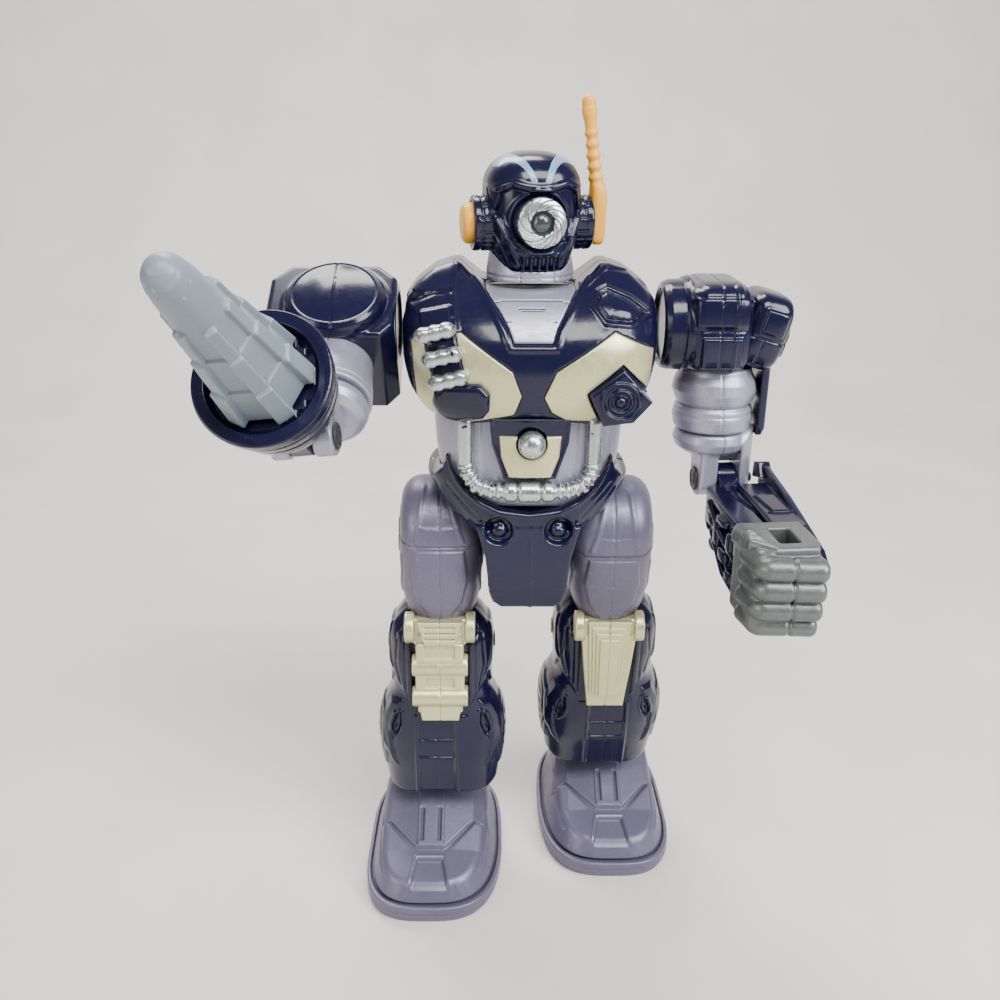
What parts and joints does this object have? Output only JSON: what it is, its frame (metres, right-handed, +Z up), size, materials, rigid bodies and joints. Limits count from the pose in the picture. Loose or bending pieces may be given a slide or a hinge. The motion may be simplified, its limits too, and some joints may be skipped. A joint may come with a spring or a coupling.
{
  "type": "toy robot",
  "caption": "Free-standing walking toy robot with a turning head, jointed arms, a spinning drill hand, a fist and coupled stepping legs.",
  "frame": {"origin": "bottom centre of the whole toy's bounding box, on the floor", "axes": "+Z up, -Y the way the robot faces, +X the robot's left"},
  "size_m": [0.1716, 0.1688, 0.2663],
  "materials": {
    "navy_plastic": "glossy moulded plastic",
    "lilac_silver": "pearl silver paint",
    "purple_plastic": "pearl moulded plastic",
    "gold_paint": "satin pale gold paint",
    "silver_paint": "worn silver paint",
    "dark_lens": "polished",
    "yellow_vinyl": "soft vinyl",
    "drill_grey": "soft vinyl",
    "fist_grey": "metallic grey plastic",
    "steel": "plain steel",
    "black_plastic": "matte",
    "circuit_green": "solder mask",
    "battery_wrap": "plain wrapped cell"
  },
  "bodies": {
    "torso": {"abdomen_hose": "silver_paint", "abdomen_shell": "lilac_silver", "batteries": "battery_wrap", "battery_door": "navy_plastic", "belly_plate": "gold_paint", "chest_back_shell": "navy_plastic", "chest_front_shell": "navy_plastic", "chest_plate_left": "gold_paint", "chest_plate_right": "gold_paint", "circuit_board": "circuit_green", "collar_plate": "lilac_silver", "gearbox_case": "black_plastic", "hip_shaft": "steel", "motor": "steel", "pelvis_back_shell": "navy_plastic", "pelvis_front_shell": "navy_plastic", "shell_screws": "steel", "shoulder_pins": "black_plastic", "speaker": "black_plastic", "strap_bands": "silver_paint"},
    "belly_button": {"belly_button": "silver_paint"},
    "power_switch": {"power_switch": "black_plastic"},
    "head": {"head_front_shell": "navy_plastic", "head_back_shell": "navy_plastic", "neck_collar": "lilac_silver", "eye_ring": "silver_paint", "eye_lens": "dark_lens", "ear_cap": "yellow_vinyl"},
    "antenna": {"antenna": "yellow_vinyl"},
    "left_upper_arm": {"left_shoulder_shell": "navy_plastic", "left_shoulder_pod": "navy_plastic", "left_upper_arm": "lilac_silver"},
    "left_lower_arm": {"left_elbow_fork": "lilac_silver", "left_elbow_pin": "steel"},
    "left_forearm": {"left_forearm_shell": "navy_plastic", "left_forearm_armour": "navy_plastic", "left_fist": "fist_grey"},
    "right_upper_arm": {"right_shoulder_block": "navy_plastic", "right_shoulder_dome": "navy_plastic", "right_upper_arm": "lilac_silver"},
    "right_lower_arm": {"right_elbow_fork": "lilac_silver", "right_elbow_pin": "steel"},
    "right_forearm": {"right_forearm_cuff": "navy_plastic"},
    "drill": {"drill": "drill_grey"},
    "left_leg": {"left_thigh_outer_shell": "purple_plastic", "left_thigh_inner_shell": "purple_plastic", "left_knee_guard": "gold_paint", "left_shin_outer_shell": "navy_plastic", "left_shin_inner_shell": "navy_plastic", "left_ankle_pin": "steel"},
    "right_leg": {"right_thigh_outer_shell": "purple_plastic", "right_thigh_inner_shell": "purple_plastic", "right_knee_guard": "gold_paint", "right_shin_outer_shell": "navy_plastic", "right_shin_inner_shell": "navy_plastic", "right_ankle_pin": "steel"},
    "left_foot": {"left_foot_sole": "purple_plastic", "left_foot_upper": "purple_plastic"},
    "right_foot": {"right_foot_sole": "purple_plastic", "right_foot_upper": "purple_plastic"}
  },
  "joints": [
    {"name": "head_turn", "type": "hinge", "parent": "torso", "child": "head", "pos_m": [0.00325, 0.0282, 0.218], "axis": [0, 0, 1], "range_deg": [-70, 70]},
    {"name": "antenna_swing", "type": "hinge", "parent": "head", "child": "antenna", "pos_m": [0.0216, 0.03127, 0.23], "axis": [0.9863, 0.165, 0], "range_deg": [-90, 90]},
    {"name": "left_shoulder", "type": "hinge", "parent": "torso", "child": "left_upper_arm", "pos_m": [0.04925, 0.0282, 0.199], "axis": [1, 0, 0], "range_deg": [-180, 180]},
    {"name": "left_arm_swivel", "type": "hinge", "parent": "left_upper_arm", "child": "left_lower_arm", "pos_m": [0.06325, 0.0282, 0.1695], "axis": [0, 0, 1], "range_deg": [-30, 90]},
    {"name": "left_elbow", "type": "hinge", "parent": "left_lower_arm", "child": "left_forearm", "pos_m": [0.06759, 0.02456, 0.1495], "axis": [0.9962, 0.0872, 0], "range_deg": [-40, 85]},
    {"name": "right_shoulder", "type": "hinge", "parent": "torso", "child": "right_upper_arm", "pos_m": [-0.04275, 0.0282, 0.199], "axis": [1, 0, 0], "range_deg": [-180, 180]},
    {"name": "right_arm_swivel", "type": "hinge", "parent": "right_upper_arm", "child": "right_lower_arm", "pos_m": [-0.05675, 0.00346, 0.18293], "axis": [0, 0.8387, 0.5446], "range_deg": [-80, 25]},
    {"name": "right_elbow", "type": "hinge", "parent": "right_lower_arm", "child": "right_forearm", "pos_m": [-0.06127, -0.01516, 0.17489], "axis": [0.99, -0.0767, 0.1182], "range_deg": [-20, 65]},
    {"name": "drill_spin", "type": "hinge", "parent": "right_forearm", "child": "drill", "pos_m": [-0.06702, -0.03182, 0.19534], "axis": [-0.1315, -0.805, 0.5786], "continuous": true},
    {"name": "right_hip", "type": "hinge", "parent": "torso", "child": "right_leg", "pos_m": [-0.02475, 0.0282, 0.13065], "axis": [1, 0, 0], "range_deg": [0, 11.5]},
    {"name": "left_hip", "type": "hinge", "parent": "torso", "child": "left_leg", "pos_m": [0.03125, 0.0282, 0.13065], "axis": [1, 0, 0], "range_deg": [-11.6, 0]},
    {"name": "right_ankle", "type": "hinge", "parent": "right_leg", "child": "right_foot", "pos_m": [-0.02725, 0.0172, 0.022], "axis": [1, 0, 0], "range_deg": [-11.6, 0]},
    {"name": "left_ankle", "type": "hinge", "parent": "left_leg", "child": "left_foot", "pos_m": [0.03375, 0.0392, 0.022], "axis": [1, 0, 0], "range_deg": [0, 11.6]},
    {"name": "belly_button_press", "type": "slide", "parent": "torso", "child": "belly_button", "axis": [0, 1, 0], "range_m": [0, 0.0015], "stiffness_N_per_m": 250, "springref_m": -0.001},
    {"name": "power_switch_slide", "type": "slide", "parent": "torso", "child": "power_switch", "axis": [0, 0, 1], "range_m": [0, 0.0032]}
  ],
  "couplings": [
    {"joint": "left_hip", "follows": "right_hip", "ratio": -1},
    {"joint": "right_ankle", "follows": "right_hip", "ratio": -1},
    {"joint": "left_ankle", "follows": "right_hip", "ratio": 1}
  ]
}
